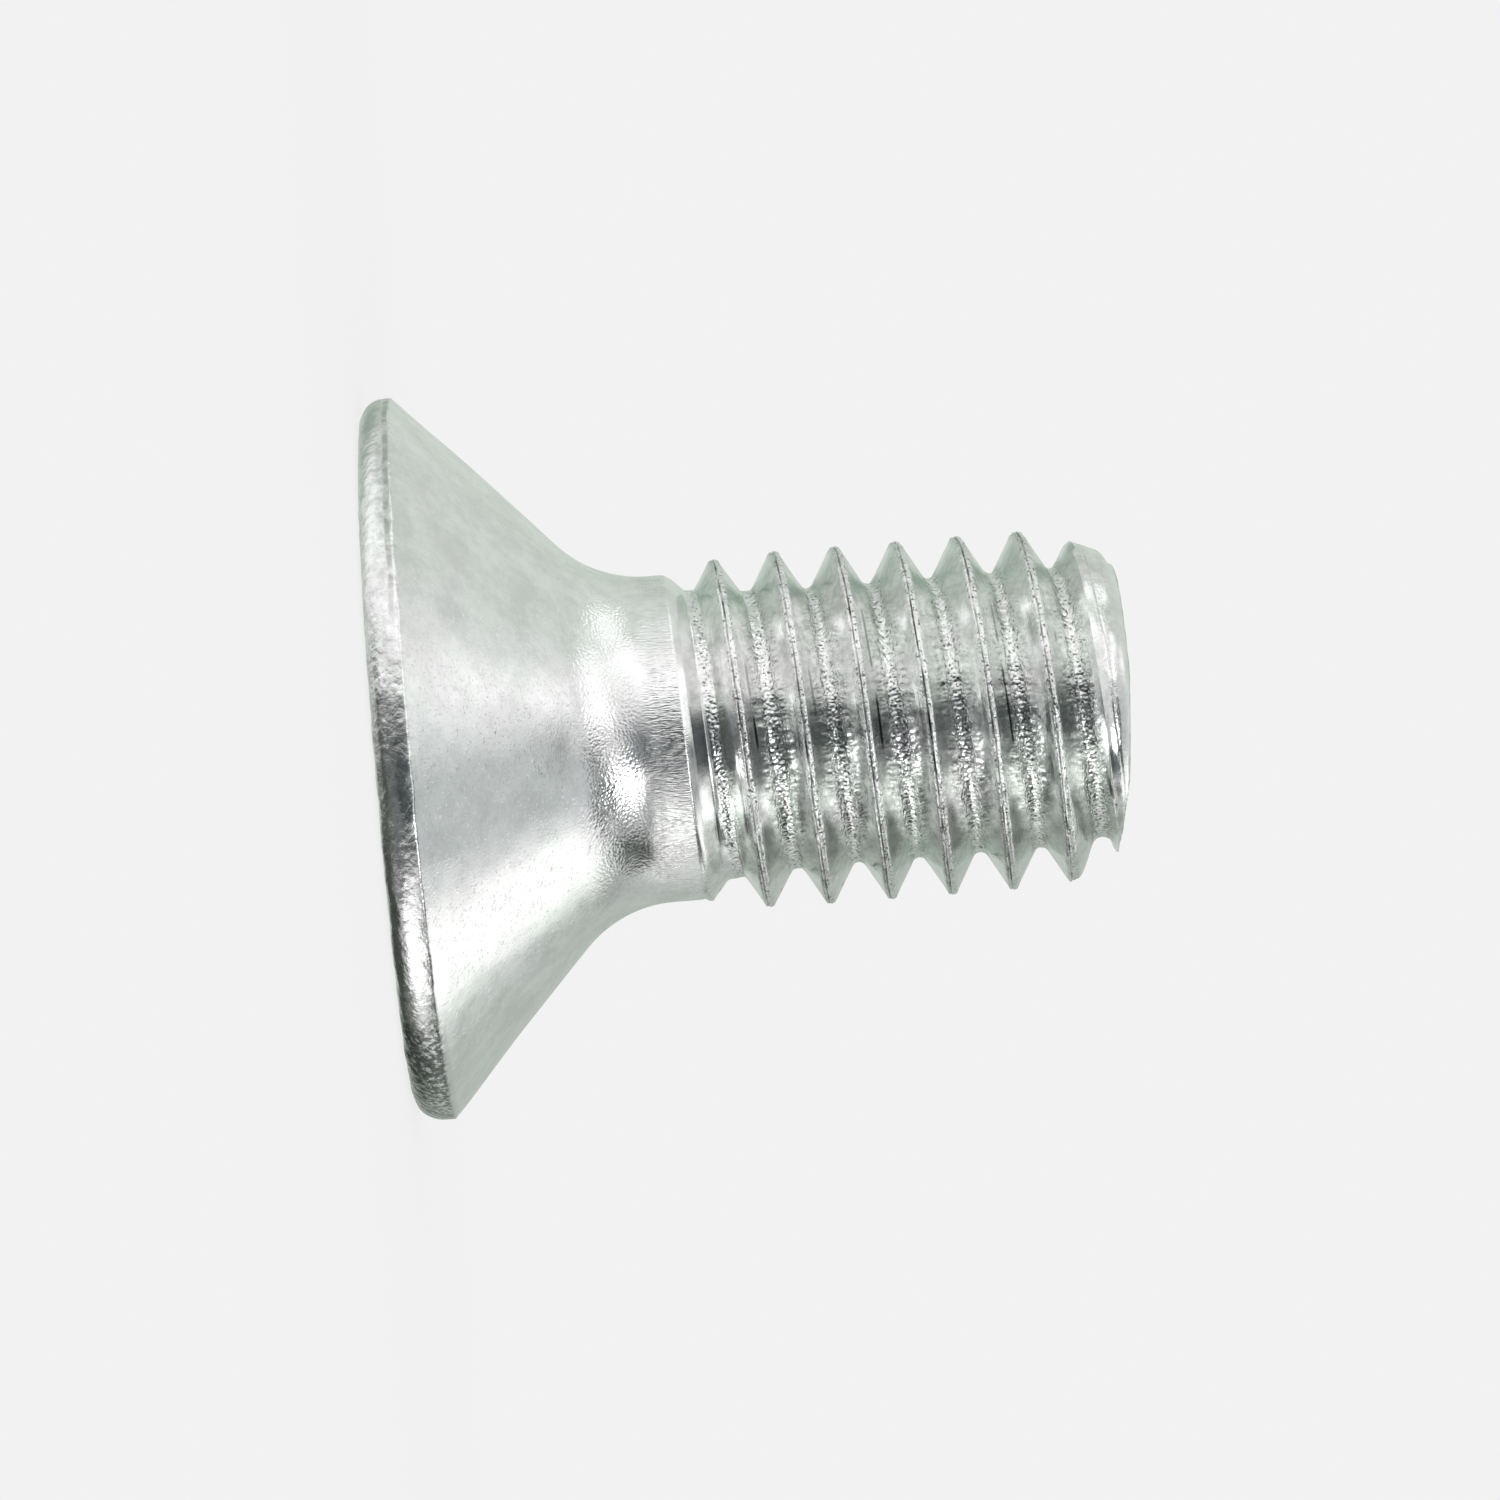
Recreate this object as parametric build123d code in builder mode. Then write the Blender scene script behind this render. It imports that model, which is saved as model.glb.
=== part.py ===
# Hexagon-socket countersunk screw, M6 x 12, cold forged and thread rolled.
#
# The screw stands on its flat head. The origin is the centre of the head's face, +Z runs up the
# shank to the point, and +X passes through the middle of one flat of the hexagon socket.
# Lengths are in millimetres and angles in degrees. Heights are measured from the head's face.

from build123d import *
from math import ceil, cos, floor, pi, radians, sin, tan
import os

os.makedirs("parts", exist_ok=True)

# ---------------------------------------------------------------- driving dimensions

length = 12.1  # head face to point, 12 nominal

# Head: a flat face, a rounded rim, and a cone that seats in the countersink.
head_diameter = 11.86  # over the rim, 12 nominal
rim_height = 0.56  # height of the edge where the cone begins
rim_round = 0.45  # corner between the face and the rim
rim_edge_round = 0.06  # corner between the rim and the cone
seat_angle = 93.5  # whole angle of the cone, 90 nominal

# Socket: a hexagon with a conical floor and a bevelled mouth.
socket_across_flats = 4.0
socket_depth = 2.5  # depth of the hexagon's corners
socket_floor_angle = 120.0  # whole angle of the floor's cone
socket_mouth_diameter = 4.9  # rim of the bevel
socket_mouth_angle = 90.0  # whole angle of the bevel

# Neck: the plain collar, left at the diameter of the blank, from which the crests were raised.
crest_over_neck = 0.24  # how far the crests stand out from the collar
neck_round = 2.0  # hollow between the cone and the neck
neck_length = 0.08  # plain collar between that hollow and the thread

# Thread: metric, one start, right-handed, rolled.
thread_diameter = 5.84  # over the crests, 6 nominal
thread_pitch = 1.0
thread_angle = 60.0  # between the flanks
crest_width = 0.1  # land along the crests
root_width = 0.15  # floor of the groove
root_phase = 0.555  # height at which a root crosses +X, give or take whole pitches

# Start of the thread: the groove deepens in two slopes, while the crests rise from the neck.
runout_knee_height = 0.75  # from the end of the neck to the change of slope
runout_knee_rise = 0.08  # of the floor over the full depth, at the change of slope
runout_height = 2.3  # from the end of the neck to the full depth
crest_rise_height = 0.35  # from the end of the neck to where the crests begin to rise
crest_rise_length = 1.25  # height in which they reach the full diameter

# Point: a rolled taper with a round end, cropped a little out of square.
point_drop = 0.51  # from the crests in to where the taper would meet the end
point_taper = 23.0  # slope of the taper
point_round = 0.5  # corner between the taper and the end
crop_depth = 0.1  # how far it takes the end down at the axis
crop_tilt = 3.2  # slope of the cropped end
crop_direction = 27.0  # way that it falls, measured from +X

# ---------------------------------------------------------------- sizes that follow

half_angle = radians(thread_angle / 2)
thread_depth = (thread_pitch - crest_width - root_width) / 2 / tan(half_angle)

head_radius = head_diameter / 2
crest_radius = thread_diameter / 2
root_radius = crest_radius - thread_depth
neck_radius = crest_radius - crest_over_neck
point_radius = crest_radius - point_drop
runout_knee_radius = root_radius + runout_knee_rise

# Without its round, the cone would meet the neck at this height.
neck_height = rim_height + (head_radius - neck_radius) / tan(radians(seat_angle / 2))
neck_round_reach = neck_round * tan(radians(seat_angle / 4))
neck_end = neck_height + neck_round_reach + neck_length

# The core under the groove ends inside the roots, so that the two surfaces cross cleanly.
core_sink = 0.03
core_radius = root_radius - core_sink
core_height = neck_end + runout_height

# The thread is trimmed by an envelope that stays clear of its crests between the two ends.
envelope_clearance = 0.3
envelope_radius = crest_radius + envelope_clearance
crest_rise_start = neck_end + crest_rise_height
rise_slope = (crest_radius - neck_radius) / crest_rise_length
envelope_foot = neck_end - thread_pitch / 2
envelope_foot_radius = neck_radius - rise_slope * (crest_rise_start - envelope_foot)
envelope_rise_end = crest_rise_start + (envelope_radius - neck_radius) / rise_slope
envelope_taper_start = length - (envelope_radius - point_radius) / tan(radians(point_taper))

# ---------------------------------------------------------------- thread form

# The section over one pitch, as radius and height above the middle of a root.
thread_section = [
    (root_radius, root_width / 2),
    (crest_radius, (thread_pitch - crest_width) / 2),
    (crest_radius, (thread_pitch + crest_width) / 2),
    (root_radius, thread_pitch - root_width / 2),
    (root_radius, thread_pitch + root_width / 2),
]


def one_turn(radius, height):
    """One turn of the thread's helix, which starts over +X."""
    return Helix(thread_pitch, thread_pitch, radius, center=(0, 0, height)).edge()


def thread_turn(root_height):
    """Flanks, crest and root over one turn, as strips between neighbouring helices."""
    edges = [one_turn(radius, root_height + rise) for radius, rise in thread_section]
    return [Face.make_surface_from_curves(*pair) for pair in zip(edges, edges[1:])]


def thread_end(root_height):
    """Faces that close the thread across the axis: a winding floor, and the step at its start."""
    floor_height = root_height + root_width / 2
    axis_line = Line((0, 0, floor_height), (0, 0, floor_height + thread_pitch)).edge()
    winding_floor = Face.make_surface_from_curves(axis_line, one_turn(root_radius, floor_height))
    corners = [(radius, 0, root_height + rise) for radius, rise in thread_section]
    step = make_face(Polyline(axis_line @ 0, *corners, axis_line @ 1, close=True))
    return [winding_floor, step.face()]


# ---------------------------------------------------------------- thread

crop_normal = Vector(sin(radians(crop_tilt)), 0, cos(radians(crop_tilt)))
crop_plane = Plane((0, 0, length - crop_depth), z_dir=crop_normal.rotate(Axis.Z, crop_direction))

with BuildPart() as envelope:
    # What the crests are trimmed to where they rise from the neck, and at the point.
    with BuildSketch(Plane.XZ):
        with BuildLine():
            envelope_line = FilletPolyline(
                (0, envelope_foot),
                (envelope_foot_radius, envelope_foot),
                (envelope_radius, envelope_rise_end),
                (envelope_radius, envelope_taper_start),
                (point_radius, length),
                (0, length),
                radius=(0, 0, 0, point_round),
            )
            Line(envelope_line @ 1, envelope_line @ 0)
        make_face()
    revolve(axis=Axis.Z)
    split(bisect_by=crop_plane, keep=Keep.BOTTOM)

# Whole turns are wound from well below the neck's end to above the point, and then trimmed.
turns_below = floor((envelope_foot - root_width / 2 - root_phase) / thread_pitch) - 1
first_root = root_phase + turns_below * thread_pitch
turns = ceil((length - first_root) / thread_pitch)
last_root = first_root + turns * thread_pitch

thread_skin = thread_end(first_root) + thread_end(last_root)
for turn in range(turns):
    thread_skin += thread_turn(first_root + turn * thread_pitch)

with BuildPart() as thread:
    add(Solid(Shell(thread_skin)))
    add(envelope.part, mode=Mode.INTERSECT)

# ---------------------------------------------------------------- socket

socket_corner_radius = socket_across_flats / 2 / cos(pi / 6)
socket_floor_depth = socket_corner_radius / tan(radians(socket_floor_angle / 2))
mouth_radius = socket_mouth_diameter / 2
mouth_depth = mouth_radius / tan(radians(socket_mouth_angle / 2))

with BuildPart() as socket:
    with BuildSketch(Plane.XY):
        RegularPolygon(socket_across_flats / 2, 6, major_radius=False)
    extrude(amount=socket_depth + socket_floor_depth)
    with BuildSketch(Plane.XZ):
        with BuildLine():
            Polyline(
                (0, 0),
                (socket_corner_radius, 0),
                (socket_corner_radius, socket_depth),
                (0, socket_depth + socket_floor_depth),
                close=True,
            )
        make_face()
    revolve(axis=Axis.Z, mode=Mode.INTERSECT)
    with BuildSketch(Plane.XZ):
        with BuildLine():
            Polyline((0, 0), (mouth_radius, 0), (0, mouth_depth), close=True)
        make_face()
    revolve(axis=Axis.Z)

# ---------------------------------------------------------------- screw

with BuildPart() as screw:
    # Head, neck and the core that the thread's groove runs out on.
    with BuildSketch(Plane.XZ):
        with BuildLine():
            outline = FilletPolyline(
                (0, 0),
                (head_radius, 0),
                (head_radius, rim_height),
                (neck_radius, neck_height),
                (neck_radius, neck_end),
                (runout_knee_radius, neck_end + runout_knee_height),
                (core_radius, core_height),
                (0, core_height),
                radius=(rim_round, rim_edge_round, neck_round, 0, 0, 0),
            )
            Line(outline @ 1, outline @ 0)
        make_face()
    revolve(axis=Axis.Z)
    add(thread.part)
    add(socket.part, mode=Mode.SUBTRACT)

screw.part.label = "countersunk_socket_screw"
export_step(screw.part, "parts/countersunk_socket_screw.step")
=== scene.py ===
# %% [markdown]
# # A countersunk socket screw
# An M6 machine screw, 12 mm long over all. A steel blank was forged in a die to make the head and
# its hexagon socket, the thread was rolled between two flat dies, and the whole screw was plated
# with zinc. It stands on its flat head, with the thread up along +Z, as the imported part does.
#
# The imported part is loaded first, and stays as it is. Its sizes are measured, because the dressed
# screw has to fill the same space.

# %% Load the frame
from math import ceil, cos, floor, hypot, pi, radians, sin, tan

import bmesh
import bpy
import numpy as np
from mathutils import Matrix, Vector, noise


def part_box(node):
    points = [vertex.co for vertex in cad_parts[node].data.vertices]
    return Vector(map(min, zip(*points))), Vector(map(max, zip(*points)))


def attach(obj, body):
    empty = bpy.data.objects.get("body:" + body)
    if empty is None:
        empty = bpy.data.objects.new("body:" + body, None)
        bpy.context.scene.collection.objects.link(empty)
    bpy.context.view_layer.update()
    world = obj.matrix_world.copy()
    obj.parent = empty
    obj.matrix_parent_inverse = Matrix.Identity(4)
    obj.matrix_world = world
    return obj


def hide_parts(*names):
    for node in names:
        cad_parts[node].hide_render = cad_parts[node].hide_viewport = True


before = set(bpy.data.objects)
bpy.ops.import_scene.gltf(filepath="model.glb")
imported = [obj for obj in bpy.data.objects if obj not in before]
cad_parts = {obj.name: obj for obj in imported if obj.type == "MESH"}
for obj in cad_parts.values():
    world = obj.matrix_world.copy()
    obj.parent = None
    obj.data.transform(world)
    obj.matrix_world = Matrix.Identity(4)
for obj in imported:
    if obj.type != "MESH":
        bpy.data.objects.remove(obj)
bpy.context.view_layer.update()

NODE = "countersunk_socket_screw"
low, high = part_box(NODE)
print("cad box, mm:", [round(1000 * (b - a), 3) for a, b in zip(low, high)])

# %% [markdown]
# ## Sizes
# Modelling runs in millimetres, one unit to the millimetre, because the merge distances and noise
# scales of a 12 mm screw are awkward in metres. The mesh is scaled to metres once, at the end. The
# length and the head's diameter come from the frame, and the rest are the screw's own sizes.

# %% Sizes
MM = 0.001
length = (high[2] - low[2]) / MM
head_radius = (high[0] - low[0]) / 2 / MM

rim_height = 0.56  # where the cone begins
rim_round = 0.45  # corner between the face and the rim
rim_edge_round = 0.11  # corner between the rim and the cone
seat_half_angle = radians(93.5 / 2)
neck_radius = 2.68
neck_round = 2.0  # hollow between the cone and the neck
neck_length = 0.08  # plain stretch above the hollow

socket_apothem = 2.0  # half of the 4 mm across the flats
socket_corner = socket_apothem / cos(pi / 6)
socket_depth = 2.5
socket_floor_slope = radians(60)  # half of the punch's 120 degree point
mouth_radius = 2.45

pitch = 1.0
crest_radius = 2.92
root_radius = 2.27
root_round = 0.13
root_phase = 0.555  # height at which a root crosses +X, give or take whole pitches
flank_angle = radians(30)
crest_width = 0.12  # between the flanks, over the crest's rounded top

hollow_top = rim_height + (head_radius - neck_radius) / tan(seat_half_angle)
hollow_top += neck_round * tan(seat_half_angle / 2)
neck_end = hollow_top + neck_length
print("thread starts at", round(neck_end, 3), "mm")

# %% [markdown]
# ## Camera
# The screw is looked at square to its axis, from low over the floor, with the camera turned on its
# side: the axis runs across the picture and the head is on the left. A long lens from 115 mm away
# keeps the thread's flanks nearly edge-on. The three turns, in radians, are about the camera's own
# axes, and the roll lets the screw lie at a slight slope.

# %% Camera
camera_place = Vector((0, -115, 4.777)) * MM
camera_lens = 168.28
turn_up = 0.0099676
turn_across = 0.0025732
roll = 0.0810848

lying = Matrix(((0, 0, 1), (-1, 0, 0), (0, -1, 0)))  # rows: right, up and back of the camera
aim = Matrix.Rotation(roll, 3, "Z") @ Matrix.Rotation(turn_across, 3, "X")
aim = aim @ Matrix.Rotation(turn_up, 3, "Y") @ lying

camera_data = bpy.data.cameras.new("camera")
camera_data.sensor_width = 36
camera_data.lens = camera_lens
camera_data.clip_start = 0.001
camera = bpy.data.objects.new("camera", camera_data)
camera.matrix_world = Matrix.Translation(camera_place) @ aim.transposed().to_4x4()
bpy.context.scene.collection.objects.link(camera)
bpy.context.scene.camera = camera
print("camera looks along", [round(x, 3) for x in -aim[2]])

# %% [markdown]
# ## Rings
# The head is a turned form, so it can be grown as by hand: a circle is extruded to one ring after
# another, each time moved along the axis and scaled to its radius. This gives even quads, which
# take dents and scratches better than a boolean would. Each ring is one extrude and one resize.

# %% Ring helpers
HEAD_COLUMNS = 420  # a multiple of 6, so that the socket's corners fall on columns


def start_mesh():
    """Leave edit mode with nothing selected, so that the next primitive stands alone."""
    if bpy.context.object and bpy.context.object.mode != "OBJECT":
        bpy.ops.object.mode_set(mode="OBJECT")
    bpy.ops.object.select_all(action="DESELECT")


def take_up(*pieces):
    """Leave edit mode and select these pieces alone, with the first one active."""
    start_mesh()
    for piece in pieces:
        piece.select_set(True)
    bpy.context.view_layer.objects.active = pieces[0]


def edit_vertices():
    """Go into edit mode with every vertex selected."""
    bpy.ops.object.mode_set(mode="EDIT")
    bpy.ops.mesh.select_mode(type="VERT")
    bpy.ops.mesh.select_all(action="SELECT")


def grow_rings(outline):
    """Extrude the selected ring along an outline of (radius, height), from its first point."""
    for (radius, height), (next_radius, next_height) in zip(outline, outline[1:]):
        rise = (0, 0, next_height - height)
        bpy.ops.mesh.extrude_region_move(TRANSFORM_OT_translate={"value": rise})
        scale = next_radius / radius
        bpy.ops.transform.resize(value=(scale, scale, 1), center_override=(0, 0, 0))


def arc(centre, radius, start, end, steps):
    """Points along an arc of the section. Angles run from outward towards +Z."""
    turns = [start + (end - start) * step / steps for step in range(1, steps + 1)]
    return [(centre[0] + radius * cos(turn), centre[1] + radius * sin(turn)) for turn in turns]


def straight(start, end, steps):
    """Points that divide a straight stretch of the section."""
    shares = [step / steps for step in range(1, steps + 1)]
    return [tuple(a + (b - a) * share for a, b in zip(start, end)) for share in shares]


def select_vertices(piece, wanted):
    """Select the vertices whose place the test accepts, in edit mode."""
    mesh = bmesh.from_edit_mesh(piece.data)
    for element in (*mesh.faces, *mesh.edges):
        element.select = False
    for vertex in mesh.verts:
        vertex.select = wanted(vertex.co)
    mesh.select_flush(True)
    bmesh.update_edit_mesh(piece.data)


print("columns round the head:", HEAD_COLUMNS)

# %% [markdown]
# ## Head
# From the neck down: a hollow of 2 mm radius, the cone that seats in the countersink, a short rim
# with a nearly sharp upper edge, the big round that the forging die leaves, and the flat face.

# %% Head
BRIDGE_GAP = 0.02  # left between the head and the thread, which are bridged later
EDGE_DROP = 0.02  # how far the upper edge's round lies below the rim's height
EDGE_LEAD = (0.03, 0.028)  # the straight cone ends this far in from that round, and above it
ROWS = {"hollow": 16, "cone": 26, "edge": 3, "rim": 10, "face": 8}  # rings in each stretch

collar_foot = neck_end - BRIDGE_GAP
hollow_centre = (neck_radius + neck_round, hollow_top)
edge_centre = (head_radius - rim_edge_round, rim_height - EDGE_DROP)
face_edge = head_radius - rim_round
edge_arc = arc(edge_centre, rim_edge_round, pi / 2 - seat_half_angle, 0, ROWS["edge"])
cone_foot = (edge_arc[0][0] - EDGE_LEAD[0], edge_arc[0][1] + EDGE_LEAD[1])

outline = [(neck_radius, collar_foot), (neck_radius, hollow_top)]
outline += arc(hollow_centre, neck_round, pi, pi + seat_half_angle, ROWS["hollow"])
outline += straight(outline[-1], cone_foot, ROWS["cone"])
outline += edge_arc
outline += arc((face_edge, rim_round), rim_round, 0, -pi / 2, ROWS["rim"])
outline += straight(outline[-1], (mouth_radius, 0), ROWS["face"])

start_mesh()
bpy.ops.mesh.primitive_circle_add(
    vertices=HEAD_COLUMNS, radius=neck_radius, fill_type="NOTHING", location=(0, 0, collar_foot)
)
screw = bpy.context.object
screw.name = "zinc_plated_screw"
bpy.ops.object.transform_apply(location=True)
edit_vertices()
grow_rings(outline)
start_mesh()
print("head: rings", len(outline), "vertices", len(screw.data.vertices))

# %% [markdown]
# ## Socket
# The hexagon was punched while the head was forged. A six-sided circle is subdivided until it has
# as many vertices as the head's rings, and dropped onto two cones: a 45 degree mouth bevel, which
# scallops the walls' upper edge, and the punch's 120 degree point, which shapes the floor.

# %% Socket
start_mesh()
bpy.ops.mesh.primitive_circle_add(vertices=6, radius=socket_corner, fill_type="NOTHING")
socket = bpy.context.object
edit_vertices()
corner_to_x = pi / 6  # the circle starts with a corner on +Y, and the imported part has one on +X
bpy.ops.transform.rotate(value=corner_to_x, orient_axis="Z", center_override=(0, 0, 0))
bpy.ops.mesh.subdivide(number_cuts=HEAD_COLUMNS // 6 - 1)


def drop_on_cone(piece, height_at):
    """Move the selected ring along the axis onto a cone, given as height for each radius."""
    mesh = bmesh.from_edit_mesh(piece.data)
    for vertex in mesh.verts:
        if vertex.select:
            vertex.co.z = height_at(hypot(vertex.co.x, vertex.co.y))
    bmesh.update_edit_mesh(piece.data)


def floor_height(radius):
    """Height of the punch's cone, which is deepest at the axis."""
    return socket_depth + (socket_corner - radius) / tan(socket_floor_slope)


WALL_ROWS = 6
WALL_RISE = (0, 0, 0.3)  # from each row to the next
FLOOR_RINGS = (0.9, 0.8, 0.75, 0.7, 0.6, 0.5, 0.4, 0.25)  # each ring's size against the last

drop_on_cone(socket, lambda radius: mouth_radius - radius)
for _ in range(WALL_ROWS):
    bpy.ops.mesh.extrude_region_move(TRANSFORM_OT_translate={"value": WALL_RISE})
drop_on_cone(socket, floor_height)
for scale in FLOOR_RINGS:
    bpy.ops.mesh.extrude_region_move()
    bpy.ops.transform.resize(value=(scale, scale, 1), center_override=(0, 0, 0))
    drop_on_cone(socket, floor_height)
bpy.ops.mesh.extrude_region_move()
bpy.ops.mesh.merge(type="CENTER")
drop_on_cone(socket, floor_height)

take_up(screw, socket)
bpy.ops.object.join()
edit_vertices()


def on_mouth(place):
    """Whether a place lies on the face's inner ring or on the hexagon's upper edge."""
    close = 0.001
    radius = hypot(place.x, place.y)
    if abs(radius - mouth_radius) < close and abs(place.z) < close:
        return True
    return radius < socket_corner + close and abs(place.z - mouth_radius + radius) < close


select_vertices(screw, on_mouth)
bpy.ops.mesh.bridge_edge_loops()
start_mesh()
print("with socket: vertices", len(screw.data.vertices))

# %% [markdown]
# ## Thread
# Rolling presses the groove in and squeezes the metal up into the crest, where the two flanks meet
# in a fine seam. The section over one pitch is drawn point by point and wound with a Screw
# modifier. Its rows then follow the helix, so the crests and roots stay crisp.

# %% Thread section
THREAD_COLUMNS = 264
root_centre = root_radius + root_round
root_reach = root_round * cos(flank_angle)
root_rise = root_centre - root_round * sin(flank_angle)
crest_edge = pitch / 2 - crest_width / 2
lap_offset = 0.71 * pitch  # a fold left by the rolling, part way down the upper flank


def flank_radius(offset):
    """Radius of the flank at an axial distance from the middle of its root."""
    return root_rise + (min(offset, pitch - offset) - root_reach) / tan(flank_angle)


FLANK_ROWS = (0.15, 0.19, 0.24, 0.30, 0.36, 0.41)  # distances from the middle of the root
LAP_ROW = 0.30  # on the upper flank, two rows beside the fold take this one's place
half_root = [0, 0.4 * root_reach, 0.75 * root_reach]
root_points = [(x, root_centre - (root_round**2 - x * x) ** 0.5) for x in half_root]
lower_flank = [root_reach, *FLANK_ROWS, crest_edge]
upper_flank = [pitch - offset for offset in reversed(lower_flank) if offset != LAP_ROW]
upper_flank = sorted(upper_flank + [lap_offset - 0.02, lap_offset + 0.01])
LAND = (  # the crest's rounded top: distance from its middle, and drop below its height
    (-0.048, 0.010), (-0.032, 0.004), (-0.016, 0.001), (0, 0),
    (0.016, 0.001), (0.032, 0.005), (0.048, 0.012),
)
crest_points = [(pitch / 2 + x, crest_radius - drop) for x, drop in LAND]

section = root_points + [(x, flank_radius(x)) for x in lower_flank] + crest_points
section += [(x, flank_radius(x)) for x in upper_flank]
section += [(pitch - x, radius) for x, radius in reversed(root_points)]
print("section points:", len(section))

# %% [markdown]
# A plane merged to its centre gives a single vertex, which is extruded along the section. The
# Screw modifier winds it once round for each pitch that it rises, and merging closes the seams.

# %% Wind the thread
SEAM_GAP = 0.0005  # far below the shortest edge
SPARE_TURNS = 2  # below the neck, to be cut off
first_root = root_phase + pitch * (floor((neck_end - root_phase) / pitch) - SPARE_TURNS)
turns = ceil((length - first_root) / pitch) + 1

start_mesh()
bpy.ops.mesh.primitive_plane_add(size=0.1)
thread = bpy.context.object
edit_vertices()
bpy.ops.mesh.merge(type="CENTER")
bpy.ops.transform.translate(value=(section[0][1], 0, first_root))
for (offset, radius), (next_offset, next_radius) in zip(section, section[1:]):
    step = (next_radius - radius, 0, next_offset - offset)
    bpy.ops.mesh.extrude_vertices_move(TRANSFORM_OT_translate={"value": step})
bpy.ops.object.mode_set(mode="OBJECT")

winding = thread.modifiers.new("winding", "SCREW")
winding.axis = "Z"
winding.angle = 2 * pi
winding.screw_offset = pitch
winding.iterations = turns
winding.steps = THREAD_COLUMNS
winding.render_steps = THREAD_COLUMNS
bpy.ops.object.modifier_apply(modifier=winding.name)
edit_vertices()
bpy.ops.mesh.remove_doubles(threshold=SEAM_GAP)
bpy.ops.object.mode_set(mode="OBJECT")
print("wound turns:", turns, "vertices:", len(thread.data.vertices))

# %% [markdown]
# ## Run-out, rise and point
# The rolling dies let the thread die out. The groove's floor falls steeply from the collar's edge
# and then slowly, and the crests rise from low blunt ones to their full height. At the point a
# taper and a round trim the last crests. Each vertex is only moved towards or away from the axis.
# The dies did not stand square, so the run-out leans: its heights depend on the bearing.

# %% Core and envelope
floor_heights = (4.84, 4.98, 5.17, 6.9, 6.91)  # the groove's floor in the run-out
floor_radii = (neck_radius, 2.59, 2.40, root_radius - 0.03, 0)
floor_blend = 0.04
crest_heights = (4.6, 4.95, 5.65, 6.5)  # the crests as they rise
crest_radii = (2.55, 2.71, 2.86, crest_radius)
LEAN = (0.113, -0.032)  # how much higher the run-out lies towards +X, and towards +Y

point_radius = 2.41
point_blend = 0.03
point_angle = radians(23)
point_slope = tan(point_angle)
point_round = 0.5
round_height = length - point_round
round_axis = point_radius + point_round * point_slope - point_round / cos(point_angle)
round_start = round_height + point_round * sin(point_angle)


def lean(bearing):
    """How much higher the run-out lies at a bearing than in the mean."""
    return LEAN[0] * np.cos(bearing) + LEAN[1] * np.sin(bearing)


def point_limit(height):
    """Radius that the tapered and rounded point leaves, by height."""
    taper = point_radius + point_slope * (length - height)
    reach = np.clip(point_round**2 - (height - round_height) ** 2, 0, None)
    return np.where(height > round_start, round_axis + np.sqrt(reach), taper)


def blend_low(a, b, width):
    """The lower of two values, rounded where they cross."""
    share = np.clip(0.5 + 0.5 * (b - a) / width, 0, 1)
    return b + (a - b) * share - width * share * (1 - share)


def blend_high(a, b, width):
    """The higher of two values, rounded where they cross."""
    return -blend_low(-a, -b, width)


def read_places(mesh):
    """Vertex places as an array with one row to a vertex."""
    places = np.empty(3 * len(mesh.vertices))
    mesh.vertices.foreach_get("co", places)
    return places.reshape(-1, 3)


def write_places(mesh, places):
    """Put the vertices at the places in such an array."""
    mesh.vertices.foreach_set("co", places.ravel())
    mesh.update()


places = read_places(thread.data)
radius = np.hypot(places[:, 0], places[:, 1])
level = places[:, 2] - lean(np.arctan2(places[:, 1], places[:, 0]))
crest_limit = np.interp(level, crest_heights, crest_radii)
growth = (crest_limit - root_radius) / (crest_radius - root_radius)
shaped = root_radius + (radius - root_radius) * growth
shaped = blend_high(shaped, np.interp(level, floor_heights, floor_radii), floor_blend)
shaped = blend_low(shaped, point_limit(places[:, 2]), point_blend)
places[:, :2] *= (shaped / radius)[:, None]
write_places(thread.data, places)
micron = 0.001
print("vertices moved inwards by over a micron:", int(np.sum(shaped < radius - micron)))

# %% [markdown]
# The spare turns below the neck and above the point are cut off with bisect. The point was cropped
# from the wire a little out of square, so its plane is tilted.

# %% Trim the ends
crop_height = length - 0.1  # of the cut's middle, so that its high side is at the full length
crop_tilt = radians(3.2)
crop_side = radians(27)  # bearing of the lower side
crop_normal = (sin(crop_tilt) * cos(crop_side), sin(crop_tilt) * sin(crop_side), cos(crop_tilt))
crop_centre = (0, 0, crop_height)
SLIVER = 0.02  # the cuts leave edges shorter than this, which are merged
EDGE_BREAK = 0.985  # size of the cut's ring, drawn in so that its edge isn't sharp
END_RINGS = (0.985, 0.97, 0.9, 0.85, 0.8, 0.7, 0.5)  # each ring's size against the last

take_up(thread)
edit_vertices()
bpy.ops.mesh.bisect(plane_co=(0, 0, neck_end), plane_no=(0, 0, -1), clear_outer=True)
bpy.ops.mesh.remove_doubles(threshold=SLIVER)
bpy.ops.mesh.select_all(action="SELECT")
bpy.ops.mesh.bisect(plane_co=crop_centre, plane_no=crop_normal, clear_outer=True)
bpy.ops.mesh.remove_doubles(threshold=SLIVER)
bpy.ops.transform.resize(value=(EDGE_BREAK,) * 3, center_override=crop_centre)
for scale in END_RINGS:
    bpy.ops.mesh.extrude_region_move()
    bpy.ops.transform.resize(value=(scale,) * 3, center_override=crop_centre)
bpy.ops.mesh.extrude_region_move()
bpy.ops.mesh.merge(type="CENTER")
start_mesh()
print("thread: vertices", len(thread.data.vertices))

# %% [markdown]
# ## One piece
# The thread's foot and the head's collar are both rings of the neck's radius, so the two halves are
# joined and bridged. Winding can turn faces inside out, so all of them are then made to point
# outwards. No vertex may be left open.

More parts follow.
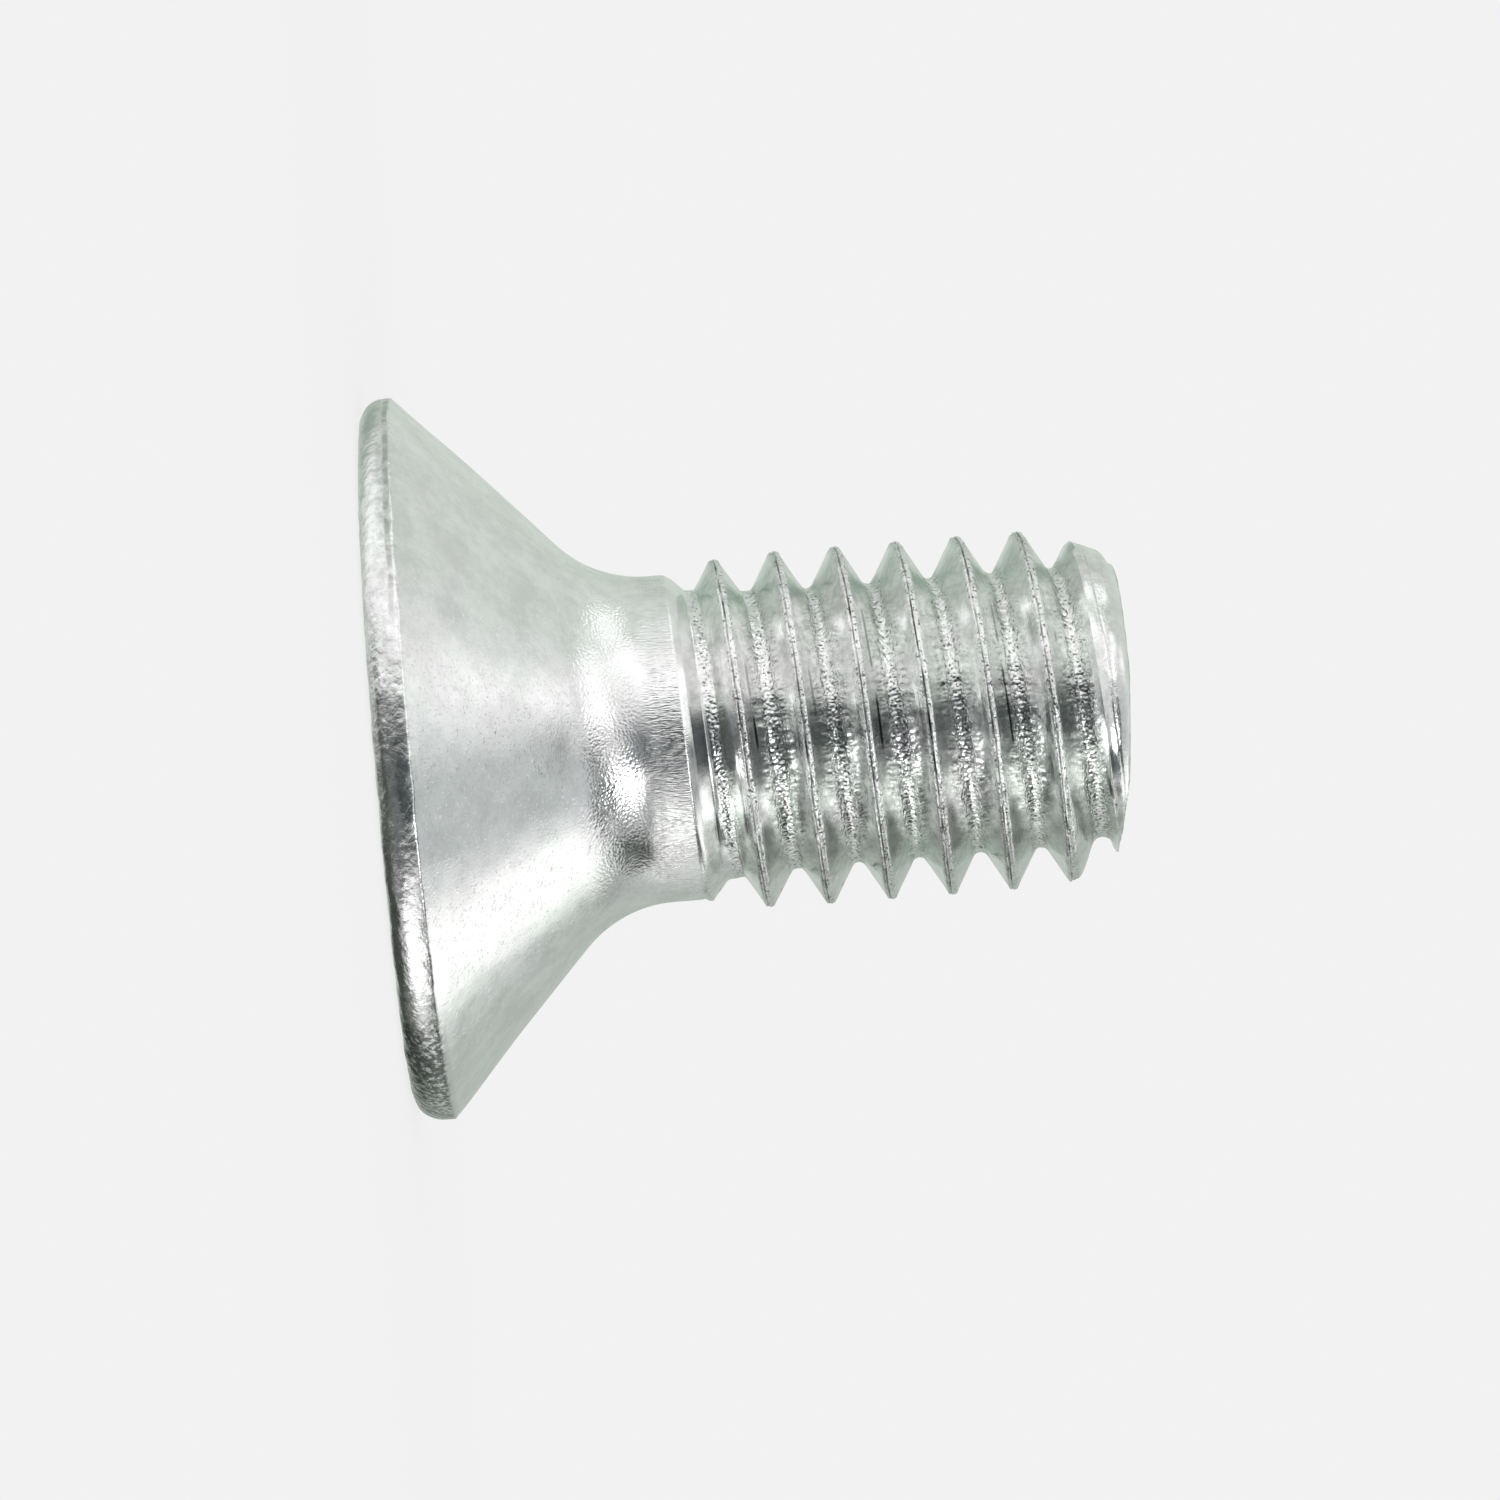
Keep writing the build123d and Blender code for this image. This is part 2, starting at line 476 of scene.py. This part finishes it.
# %% Join the halves
take_up(screw, thread)
bpy.ops.object.join()
edit_vertices()
bpy.ops.mesh.select_all(action="DESELECT")
bpy.ops.mesh.select_non_manifold()
bpy.ops.mesh.bridge_edge_loops()
bpy.ops.mesh.select_all(action="SELECT")
bpy.ops.mesh.normals_make_consistent(inside=False)
bpy.ops.mesh.select_all(action="DESELECT")
bpy.ops.mesh.select_non_manifold()
still_open = sum(vertex.select for vertex in bmesh.from_edit_mesh(screw.data).verts)
print("open vertices:", still_open)
start_mesh()
print("joined: vertices", len(screw.data.vertices))

# %% [markdown]
# ## Marks of the making
# A forged, rolled and tumbled screw is never quite round. The dents are real geometry: vertices are
# moved in or out along their normals by noise, each kind only where its tool touched. The die's rim
# is hammered, the roots are coarse where the dies tore the metal, the crests are bruised, and the
# cone is only faintly uneven. So each kind of surface first gets a mask, from 0 off it to 1 on it.

# %% Where each surface lies
places = read_places(screw.data)
radius = np.hypot(places[:, 0], places[:, 1])
height = places[:, 2]
bearing = np.arctan2(places[:, 1], places[:, 0])
turn = (height - root_phase) / pitch - bearing / (2 * pi)  # whole at each root
groove_place = turn % 1
from_root = np.minimum(groove_place, 1 - groove_place)
from_crest = np.abs(groove_place - 0.5)


def ramp(value, start, end):
    """0 before start and 1 after end, smooth between them."""
    share = np.clip((value - start) / (end - start), 0, 1)
    return share * share * (3 - 2 * share)


def band(value, start, full, still_full, end):
    """1 inside a band and 0 outside it, smooth at both of its edges."""
    return ramp(value, start, full) * ramp(value, end, still_full)


FIRST_ROUGH_ROOT = 5  # the groove below this root belongs to the run-out, which is smooth

# Radii and heights are in millimetres, and places in the groove are shares of the pitch.
on_point = ramp(height, length - 0.9, length - 0.5)
on_thread = ramp(height, neck_end + 0.35, neck_end + 0.6) * ramp(length - height, 0.1, 0.25)
on_root = on_thread * ramp(from_root, 0.18, 0.11)
on_root *= 1 - (turn < FIRST_ROUGH_ROOT) * ramp(groove_place, 1.0, 0.94)
on_torn = on_thread * ramp(groove_place, 0.69, 0.73) * ramp(from_root, 0.06, 0.12)
on_crest = on_thread * ramp(from_crest, 0.11, 0.07) * (1 - 0.7 * on_point)
on_rim = ramp(radius, 5.2, 5.5) * ramp(height, rim_height + 0.1, rim_height)
on_cone = band(height, rim_height, 0.75, 3.2, 4.0)
on_hollow = band(height, 2.9, 3.6, 4.0, 4.3)
on_ring = band(height, 3.0, 3.25, 3.5, 3.75)  # where the cone turns into the hollow
on_collar = ramp(height, 4.1, 4.4) * ramp(height - lean(bearing), 4.9, 4.8)
print("rim vertices:", int(np.sum(on_rim > 0.5)), "root vertices:", int(np.sum(on_root > 0.5)))

# %% [markdown]
# Blender's own noise is read at every vertex. A low fineness gives broad waves and a high one gives
# small bumps, and each layer has its own seed so that no two of them agree. The depths are a few
# hundredths of a millimetre, which a bright metal shows at once in what it reflects.

# %% Dents and bruises
coordinates = [Vector(place) for place in places]


def roughness(fineness, seed):
    """Noise from -1 to 1 at every vertex, with so many lumps to the millimetre."""
    offset = Vector((seed, 2.7 * seed, -1.3 * seed))
    return np.array([noise.noise(place * fineness + offset) for place in coordinates])


on_edge = on_rim * ramp(np.abs(height - rim_height), 0.07, 0)
point_flat = -0.10 * ramp(np.cos(bearing), 0.5, 1)  # the point is knocked flat towards +X
DENTS = (  # where, an even shift, and layers of noise, each as depth, fineness and seed
    (on_rim, -0.006, (0.014, 2.2, 1), (0.008, 5, 2)),
    (on_edge, 0, (0.022, 5, 18)),
    (on_cone, 0, (0.006, 0.6, 3), (0.0025, 3, 4)),
    (on_hollow, 0, (0.003, 1.5, 12), (0.0015, 6, 13)),
    (on_root, 0, (0.013, 7, 5), (0.008, 3, 6)),
    (on_crest, 0, (0.020, 3.5, 7), (0.008, 9, 17)),
    (on_thread, 0, (0.006, 1.1, 8), (0.003, 2.4, 11)),
    (on_point, point_flat, (0.05, 0.7, 14)),
)
push = np.zeros(len(places))
for mask, shift, *layers in DENTS:
    bumps = [depth * roughness(fineness, seed) for depth, fineness, seed in layers]
    push += mask * (sum(bumps) + shift)

# The two flanks' metal meets in a seam that wanders along the crest, a little below its middle.
seam_offset = 0.478 * pitch
from_seam = groove_place - seam_offset - 0.012 * roughness(0.8, 15)
on_seam = on_crest * ramp(np.abs(from_seam), 0.018, 0)
push -= on_seam * (0.022 + 0.012 * roughness(2, 9))
print("deepest dent, mm:", round(push.min(), 3), "highest:", round(push.max(), 3))

# %% [markdown]
# Now the vertices are moved. The rim's upper edge also runs a little out of true with the face. At
# the end nothing stands proud of the screw's own sizes, because the die and the cropping blade
# leave nothing outside them.

# %% Move the vertices
rim_tilt = 0.05
margin = 0.001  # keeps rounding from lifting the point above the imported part
normals = np.empty(3 * len(places))
screw.data.vertices.foreach_get("normal", normals)
places += normals.reshape(-1, 3) * push[:, None]
places[:, 2] += rim_tilt * np.cos(bearing) * ramp(radius, 4.6, 5.8) * ramp(height, 0, 0.5)

reach = np.maximum(np.hypot(places[:, 0], places[:, 1]), 1)  # never 0, even on the axis
places[:, :2] *= np.minimum(1, head_radius / reach)[:, None]
places[:, 2] = np.clip(places[:, 2], 0, length - margin)
write_places(screw.data, places)
print("widest radius before the limit, mm:", round(reach.max(), 3), "and limit:", head_radius)

# %% [markdown]
# The rolling also folds metal over, and the fold's lip runs along each turn of the upper flank. It
# gapes only here and there. The rim has such a lip too, and the shade beside it is painted on its
# side towards -X. Both are far thinner than a face of the mesh, so each vertex only notes how far
# it is from the line, along which the material paints their shade.

# %% Folds and seams
LOW_LAP_TURN = 9  # on this turn the fold lies nearer the root
# The gape sets how dark the painted shade in each crack is.
CRACKS = (  # which turn, first and last bearing from -Y in degrees, and how far it gapes
    (5, -28, -10, 0.5), (5, -8, 8, 1.0), (6, -24, -1, 0.5), (7, -46, -17, 0.6), (7, -12, 11, 1.0),
    (9, -48, -24, 0.6), (9, -20, 14, 1.0), (10, -30, -22, 0.6),
)
front_bearing = np.degrees(bearing) + 90  # -90 to 270, with 0 towards -Y
which_turn = np.floor(turn)

from_lap = groove_place - lap_offset - 0.025 * roughness(0.45, 16)
from_lap -= 0.07 * (which_turn == LOW_LAP_TURN)
# How far from the rim's lip, beside which its shadow is painted.
from_burr = height - rim_height + 0.09 + 0.03 * roughness(1.5, 19)
on_far_side = ramp(np.abs(front_bearing), 75, 90)
gape = on_far_side * ramp(roughness(0.9, 10), 0.05, 0.3)
for crack_turn, first, last, width in CRACKS:
    along = band(front_bearing, first, first + 6, last - 4, last)
    gape = np.maximum(gape, width * along * (which_turn == crack_turn))
gape *= on_thread * ramp(from_root, 0.15, 0.2)
print("cracks:", len(CRACKS), "and vertices beside a fold:", int(np.sum(gape > 0.5)))

# %% [markdown]
# The material needs to know all these places. They are stored on the mesh as attributes, so the
# finish follows the helix, which no coordinate of the object does.

# %% Store the places
MASKS = {
    "root": on_root, "torn": on_torn, "crest": on_crest, "thread": on_thread,
    "rim": on_rim, "cone": on_cone, "hollow": on_hollow, "ring": on_ring, "collar": on_collar,
    # where the rim has grains and painted shade: all round but the quarter between -X and -Y
    "pitted_and_shaded": on_rim * ramp(front_bearing, 40, 50),
    # where the shadow beside the rim's lip is painted, on the rim towards -X
    "burr_shadow": on_rim * ramp(front_bearing, -12, -30),
    "gape": gape, "from_lap": from_lap, "from_seam": from_seam, "from_burr": from_burr,
}
for name, mask in MASKS.items():
    layer = screw.data.attributes.new(name, "FLOAT", "POINT")
    layer.data.foreach_set("value", mask)

edit_vertices()
bpy.ops.transform.resize(value=(MM, MM, MM), center_override=(0, 0, 0))
take_up(screw)
bpy.ops.object.shade_smooth_by_angle(angle=radians(40))
print("attributes:", ", ".join(MASKS))

# %% [markdown]
# ## Zinc
# Bright zinc with a clear chromate film: a nearly neutral metal that gives back about four fifths
# of the light. A Principled BSDF with Metallic at 1 is the usual start. Its base colour, roughness
# and normal are then driven by noise over the object and by the stored masks, so a few helpers that
# make and link nodes come first.

# %% Node helpers
def add(tree, kind, **settings):
    """A shader node with its properties and unlinked inputs set."""
    node = tree.nodes.new(kind)
    for key, value in settings.items():
        if key in node.inputs:
            node.inputs[key].default_value = value
        else:
            setattr(node, key, value)
    return node


def feed(entries, values):
    """Link each input to an output, or give it a fixed value."""
    for entry, value in zip(entries, values):
        if isinstance(value, bpy.types.NodeSocket):
            link(value, entry)
        else:
            entry.default_value = value


def calculate(operation, a, b=0.0):
    """One step of arithmetic on numbers or outputs."""
    node = add(tree, "ShaderNodeMath", operation=operation)
    feed(node.inputs, (a, b))
    return node.outputs[0]


def spread(value, low, high, to_low, to_high):
    """Map a range to another one, clamped and smooth at both ends."""
    node = add(tree, "ShaderNodeMapRange", interpolation_type="SMOOTHSTEP")
    feed(node.inputs, (value, low, high, to_low, to_high))
    return node.outputs["Result"]


def mix_colours(factor, first, second, blend_type="MIX"):
    """The second colour over the first, by a factor."""
    node = add(tree, "ShaderNodeMix", data_type="RGBA", blend_type=blend_type)
    factor_in, first_in, second_in = node.inputs[0], node.inputs[6], node.inputs[7]
    feed((factor_in, first_in, second_in), (factor, first, second))
    return node.outputs[2]


zinc = bpy.data.materials.new("bright_zinc")
zinc.use_nodes = True
tree = zinc.node_tree
link = tree.links.new
surface = tree.nodes["Principled BSDF"]
surface.inputs["Metallic"].default_value = 1.0
surface.inputs["Specular Tint"].default_value = (0.95, 1.0, 0.95, 1)
where = add(tree, "ShaderNodeTexCoord")
print("material:", zinc.name)

# %% [markdown]
# Three kinds of pattern are enough: cloudy noise, noise drawn out into scratches, and round grains.
# They lie over the object in metres, so a scale of 20,000 gives grains a twentieth of a millimetre
# across. The film is a few microns thick, and its colour wanders between faint pink and green.

# %% Patterns and base colour
def noise_of(scale, detail=2.0, rough=0.5):
    """Noise over the object, with the scale in lumps to the metre."""
    texture = add(tree, "ShaderNodeTexNoise", Scale=scale, Detail=detail, Roughness=rough)
    link(where.outputs["Object"], texture.inputs["Vector"])
    return texture.outputs["Fac"]


def stretched_noise(scale, squash):
    """Noise drawn out along the axes where squash is small, as fine scratches are."""
    mapping = add(tree, "ShaderNodeMapping", Scale=squash)
    link(where.outputs["Object"], mapping.inputs["Vector"])
    texture = add(tree, "ShaderNodeTexNoise", Scale=scale, Detail=1.0)
    link(mapping.outputs["Vector"], texture.inputs["Vector"])
    return texture.outputs["Fac"]


def grains_of(scale):
    """Round grains that fill the surface, from 0 between them to about 1 on top."""
    texture = add(tree, "ShaderNodeTexVoronoi", Scale=scale)
    link(where.outputs["Object"], texture.inputs["Vector"])
    return calculate("SUBTRACT", 1.0, texture.outputs["Distance"])


DULL_ZINC = (0.75, 0.755, 0.745, 1)
BRIGHT_ZINC = (0.90, 0.90, 0.895, 1)
PINK_FILM = (1.0, 0.988, 1.0, 1)
GREEN_FILM = (0.975, 1.0, 0.985, 1)

cloud = spread(noise_of(1400, 12, 0.75), 0.35, 0.65, 0, 1)
film_cloud = spread(noise_of(650, 3, 0.6), 0.38, 0.62, 0, 1)
metal = mix_colours(cloud, DULL_ZINC, BRIGHT_ZINC)
film = mix_colours(film_cloud, PINK_FILM, GREEN_FILM)
clean_zinc = mix_colours(1.0, metal, film, blend_type="MULTIPLY")
print("material nodes:", len(tree.nodes))

# %% [markdown]
# The cracks, the crest's seam and the rim's lip are thinner than the mesh's faces. Each is drawn
# where a stored distance passes through zero, which stays sharp however coarse the mesh is. Their
# dark colour is painted shade with some dirt, and so is that of the pits of the roots and crests.
# Dark blotches on the rim, all round but the quarter between -X and -Y, are painted shade.

# %% Lines, dirt and painted shade
# The dark colour of dirt, and of the painted shade in cracks, seams, pits and on the rim
SOIL_AND_SHADE = (0.04, 0.045, 0.04, 1)


def mask_of(name):
    """One of the stored masks or distances."""
    return add(tree, "ShaderNodeAttribute", attribute_name=name).outputs["Fac"]


def line_at(name, half_width):
    """1 along a line where the stored distance passes through zero, 0 beside it."""
    aside = calculate("ABSOLUTE", mask_of(name))
    return spread(aside, half_width, 0.3 * half_width, 0, 1)


def product(*factors):
    """All the factors multiplied, one after another."""
    result = factors[0]
    for factor in factors[1:]:
        result = calculate("MULTIPLY", result, factor)
    return result


broken = spread(noise_of(3000, 2), 0.3, 0.7, 0.2, 1)
# Painted shade with some dirt in the gaping folds, which the mesh doesn't open.
crack = product(line_at("from_lap", 0.028), mask_of("gape"))
# Painted shade with some dirt in the groove of the crest's seam, broken by noise.
seam = product(line_at("from_seam", 0.022), mask_of("crest"), broken, 0.85)
# Painted shadow beside the rim's lip, on the rim towards -X, broken by noise.
burr_shadow = product(line_at("from_burr", 0.07), mask_of("burr_shadow"))
burr_shadow = product(burr_shadow, spread(noise_of(4000, 3), 0.3, 0.6, 0.1, 0.45))
# Dark specks on the roots and crests: painted shade in pits, with some dirt.
bruised = calculate("ADD", mask_of("root"), mask_of("crest"))
pits = product(spread(noise_of(19000, 2), 0.56, 0.66, 0, 0.8), bruised)
mottled = calculate("ADD", product(mask_of("rim"), 0.22), product(mask_of("thread"), 0.16))
mottled = product(mottled, spread(noise_of(7000, 5, 0.7), 0.42, 0.62, 0, 1))
# Painted shade: dark blotches on the rim, all round but the quarter between -X and -Y.
painted_rim_shade = product(spread(noise_of(11000, 3, 0.6), 0.45, 0.62, 0.85, 0.1), mask_of("pitted_and_shaded"))

# The darkest of the marks wins: painted shade and dirt in one dark layer over the zinc
soil_and_shade = crack
for layer in (seam, burr_shadow, pits, mottled, painted_rim_shade):
    soil_and_shade = calculate("MAXIMUM", soil_and_shade, layer)
link(mix_colours(soil_and_shade, clean_zinc, SOIL_AND_SHADE), surface.inputs["Base Color"])
print("material nodes:", len(tree.nodes))

# %% [markdown]
# The film is slightly milky, so the roughness wanders too. The rolled thread is smoother than the
# forged head. The last touch is relief too fine for the mesh: grains where metal was torn or
# pressed on a rough die, ticks where screws knocked together in the plating drum. Heights are in
# microns, and the Bump node turns them into metres.

# %% Roughness and relief
MICRON = 0.000001

milky = spread(noise_of(1500, 3, 0.6), 0.3, 0.7, 0.14, 0.26)
smoothed = product(mask_of("thread"), -0.07)
roughened = product(mask_of("collar"), 0.05)
roughness_sum = calculate("ADD", milky, calculate("ADD", smoothed, roughened))
link(roughness_sum, surface.inputs["Roughness"])

lengthwise = spread(stretched_noise(22000, (1, 1, 0.25)), 0.64, 0.76, 0, 1)
crosswise = spread(stretched_noise(22000, (0.3, 1, 0.8)), 0.64, 0.76, 0, 1)
HEIGHTS = (  # where, with which pattern, and how high in microns
    (None, noise_of(22000, 2, 0.6), 1.5),
    ("cone", calculate("ADD", lengthwise, crosswise), 2.0),
    ("hollow", grains_of(20000), 5),
    ("ring", grains_of(16000), 3),
    ("collar", stretched_noise(38000, (1, 1, 0.16)), 12),
    ("root", grains_of(15000), 14),
    ("torn", noise_of(24000, 2, 0.6), 2),
    ("crest", noise_of(14000, 3, 0.7), 20),
    ("rim", grains_of(9000), 5),
    ("rim", noise_of(8000, 4, 0.65), 12),
    ("pitted_and_shaded", grains_of(11000), 10),
)
relief = 0.0
for place, pattern, microns in HEIGHTS:
    height_map = product(pattern, microns)
    if place:
        height_map = product(height_map, mask_of(place))
    relief = calculate("ADD", height_map, relief)
bump = add(tree, "ShaderNodeBump", Strength=1.0, Distance=MICRON)
link(relief, bump.inputs["Height"])
link(bump.outputs["Normal"], surface.inputs["Normal"])
screw.data.materials.clear()
screw.data.materials.append(zinc)
print("material nodes:", len(tree.nodes))

# %% [markdown]
# ## Studio
# A bright metal looks like what stands around it. The table and the room are one even pale grey,
# which the camera sees. Round the screw stand cards, which only the metal sees: black ones give it
# its dark bands and white ones its bright bands. A card is a disc as seen from the screw: it has a
# direction, a radius, an edge that fades out as far within the radius as beyond it, and a shade.
# Later cards stand in front of earlier ones.

# %% Cards
PALE = (0.888, 0.888, 0.888, 1)
CARDS = {  # turn from the camera towards +X, rise, radius and edge in degrees, and shade
    "far_wall": (180, 20, 80, 20, (0.70, 0.735, 0.705)),
    "left_wall": (-98, 10, 42, 18, (0.70, 0.74, 0.705)),
    "left_far": (-152, -18, 16, 9, (0.40, 0.46, 0.42)),
    "left_front": (-48, 2, 22, 10, (1.3, 1.3, 1.3)),
    "left_low": (-80, -47, 38, 15, (1.15, 1.15, 1.15)),
    "left_sheet": (-97, 29, 9, 6, (1.5, 1.5, 1.5)),
    "arc_sheet": (-66, 26, 11, 6, (1.5, 1.5, 1.5)),
    "arc_end": (-44, 22, 7, 5, (1.2, 1.2, 1.2)),
    "flank_sheet": (-66, 54, 10, 7, (1.4, 1.4, 1.4)),
    "upper_sheet": (-28, 55, 10, 6, (1.6, 1.6, 1.6)),
    "roof_sheet": (-112, 80, 11, 8, (1.2, 1.2, 1.2)),
    "roof_grey": (82, 74, 20, 10, (0.56, 0.58, 0.59)),
    "right_grey": (52, 45, 18, 12, (0.48, 0.50, 0.51)),
    "far_right": (148, 14, 34, 12, (0.52, 0.55, 0.53)),
    "far_grey": (122, 28, 9, 8, (0.34, 0.36, 0.34)),
    "far_sheet": (122, 54, 12, 8, (1.35, 1.35, 1.33)),
    "side_sheet": (94, 54, 10, 9, (1.25, 1.25, 1.25)),
    "right_black": (84, 23, 16, 6, (0.04, 0.05, 0.04)),
    "side_grey": (87, 5, 8, 5, (0.16, 0.17, 0.16)),
    "side_patch": (104, 2, 6, 5, (1.2, 1.2, 1.2)),
    "front_grey": (5, 17, 21, 9, (0.24, 0.26, 0.27)),
    "front_black": (8, -12, 25, 8, (0.07, 0.08, 0.085)),
    "front_low": (20, -50, 29, 8, (0.18, 0.19, 0.19)),
    "left_black": (-10, -38, 10, 6, (0.12, 0.13, 0.12)),
    "right_sheet": (63, -8, 18, 7, (1.4, 1.4, 1.38)),
    "collar_sheet": (65, -3, 7, 4, (2.0, 2.0, 2.0)),
    "rim_sheet": (66, -27, 14, 7, (2.3, 2.3, 2.3)),
    "low_black": (135, -45, 32, 7, (0.07, 0.08, 0.07)),
    "right_low": (124, -30, 14, 12, (0.32, 0.34, 0.32)),
    "front_gap": (44, 10, 9, 7, (0.20, 0.22, 0.21)),
    "blob_foot": (30, 18, 7, 6, (1.0, 1.0, 1.0)),
    "front_strip": (60, 12, 7, 5, (0.12, 0.13, 0.13)),
    "ring_black": (16, 61, 9, 5, (0.04, 0.05, 0.05)),
    "ring_side": (56, 50, 11, 6, (0.04, 0.05, 0.05)),
    "foot_black": (40, -88, 20, 12, (0.08, 0.09, 0.08)),
}


def aim_from_screw(turn, rise):
    """Unit vector from the screw. The turn is from the camera towards +X, in degrees."""
    turn, rise = radians(turn), radians(rise)
    return Vector((sin(turn) * cos(rise), -cos(turn) * cos(rise), sin(rise)))


def stand_card(behind, direction, turn, rise, radius, edge, shade):
    """One round card with a soft edge, in front of what was seen without it."""
    facing = add(tree, "ShaderNodeVectorMath", operation="DOT_PRODUCT")
    feed(facing.inputs, (direction, aim_from_screw(turn, rise)))
    away = calculate("ARCCOSINE", facing.outputs["Value"])
    cover = spread(away, radians(radius + edge), radians(radius - edge), 0, 1)
    return mix_colours(cover, behind, (*shade, 1))


def layer_shaders(bottom, *layers):
    """Shaders laid over the bottom one, each with the factor by which it covers."""
    lit = bottom.outputs[0]
    for factor, shader in layers:
        mix = add(tree, "ShaderNodeMixShader")
        feed(mix.inputs, (factor, lit, shader.outputs[0]))
        lit = mix.outputs[0]
    return lit


print("cards in the room:", len(CARDS))

# %% [markdown]
# The Light Path node tells what kind of ray looks at the room, and Mix Shader nodes answer each in
# its own way: a reflected ray sees the cards, a camera ray sees the even backdrop, and the matt
# table is lit by a slightly dimmer room.

# %% Room
ROOM_LIGHT = 0.92  # what the pale room throws on a matt surface

world = bpy.data.worlds.new("studio")
bpy.context.scene.world = world
world.use_nodes = True
tree = world.node_tree
link = tree.links.new
tree.nodes.clear()
output = add(tree, "ShaderNodeOutputWorld")
where = add(tree, "ShaderNodeTexCoord")
rays = add(tree, "ShaderNodeLightPath")
seen_by_metal = PALE
for card in CARDS.values():
    seen_by_metal = stand_card(seen_by_metal, where.outputs["Generated"], *card)
backdrop = add(tree, "ShaderNodeBackground", Color=PALE, Strength=1.0)
mirrored = add(tree, "ShaderNodeBackground", Strength=1.0)
dim = add(tree, "ShaderNodeBackground", Color=PALE, Strength=ROOM_LIGHT)
link(seen_by_metal, mirrored.inputs["Color"])
seen = calculate("MAXIMUM", rays.outputs["Is Camera Ray"], rays.outputs["Is Transmission Ray"])
lit = layer_shaders(dim, (seen, backdrop), (rays.outputs["Is Glossy Ray"], mirrored))
link(lit, output.inputs["Surface"])
print("nodes of the room:", len(tree.nodes))

# %% [markdown]
# The table is a matt disc. The camera sees it as even as the room, and only close to the screw does
# a little of its painted surface show, with the screw's own shadow. The metal sees through it to the
# cards, and from below the table is clear, so that the face and the socket can be looked at.

# %% Floor
FLOOR_GAP = 0.02 * MM  # keeps the table clear of the screw's flat face
FLOOR_RADIUS = 3  # metres, far more than the shadow reaches
SHADOW_NEAR = 6 * MM  # within this distance of the axis the even shade covers least
SHADOW_FAR = 40 * MM  # past this one it covers all
EVEN_BESIDE = 0.9  # how much of the painted surface the even shade covers beside the screw

start_mesh()
bpy.ops.mesh.primitive_circle_add(
    vertices=64, radius=FLOOR_RADIUS, fill_type="NGON", location=(0, 0, -FLOOR_GAP)
)
bpy.ops.object.transform_apply(location=True)
ground = bpy.context.object
ground.name = "floor"
floor_paint = bpy.data.materials.new("pale_floor")
floor_paint.use_nodes = True
tree = floor_paint.node_tree
link = tree.links.new
tree.nodes.clear()
output = add(tree, "ShaderNodeOutputMaterial")
matt = add(tree, "ShaderNodeBsdfDiffuse", Color=PALE)
even = add(tree, "ShaderNodeEmission", Color=PALE, Strength=1.0)
clear = add(tree, "ShaderNodeBsdfTransparent")
where = add(tree, "ShaderNodeTexCoord")
rays = add(tree, "ShaderNodeLightPath")
distance = add(tree, "ShaderNodeVectorMath", operation="LENGTH")
link(where.outputs["Object"], distance.inputs[0])
seen = calculate("MAXIMUM", rays.outputs["Is Camera Ray"], rays.outputs["Is Transmission Ray"])
evenness = spread(distance.outputs["Value"], SHADOW_NEAR, SHADOW_FAR, EVEN_BESIDE, 1.0)
plain = product(seen, evenness)
from_below = product(seen, add(tree, "ShaderNodeNewGeometry").outputs["Backfacing"])
see_through = calculate("MAXIMUM", from_below, rays.outputs["Is Glossy Ray"])
lit = layer_shaders(matt, (plain, even), (see_through, clear))
link(lit, output.inputs["Surface"])
ground.data.materials.append(floor_paint)
print("floor, mm below the face:", FLOOR_GAP / MM)

# %% [markdown]
# Two soft boxes, turned low, and a round lamp light the table. The round one also gives the hollow
# its hottest spot. Each is given by its direction, how wide and tall it looks from the screw in
# degrees, and its brightness, where 1 is a white wall.

# %% Lamps
LAMP_DISTANCE = 0.25  # metres
WHITE_WALL = 4  # watts to the square metre at which a lamp looks as bright as a white wall
LAMPS = {  # turn from the camera towards +X, rise, width, height and brightness
    "left_box": (-40, 45, 24, 24, 0.1),
    "far_box": (121, 54, 24, 20, 0.1),
    "round_lamp": (32, 32, 22, 22, 2.4),
}
middle = Vector((0, 0, 6 * MM))
for name, (towards, rise, wide, tall, brightness) in LAMPS.items():
    data = bpy.data.lights.new(name, "AREA")
    data.shape = "ELLIPSE" if name.startswith("round") else "RECTANGLE"
    data.size = 2 * LAMP_DISTANCE * tan(radians(wide / 2))
    data.size_y = 2 * LAMP_DISTANCE * tan(radians(tall / 2))
    data.energy = brightness * WHITE_WALL * data.size * data.size_y
    lamp = bpy.data.objects.new(name, data)
    lamp.visible_camera = False
    direction = aim_from_screw(towards, rise)
    lamp.location = middle + direction * LAMP_DISTANCE
    lamp.rotation_euler = direction.to_track_quat("Z", "Y").to_euler()
    bpy.context.scene.collection.objects.link(lamp)
    print(name, "at", [round(x, 3) for x in lamp.location])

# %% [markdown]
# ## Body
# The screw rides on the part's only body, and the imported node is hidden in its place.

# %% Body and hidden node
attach(screw, "root")
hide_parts(NODE)

view = bpy.context.scene.view_settings
view.view_transform = "Standard"
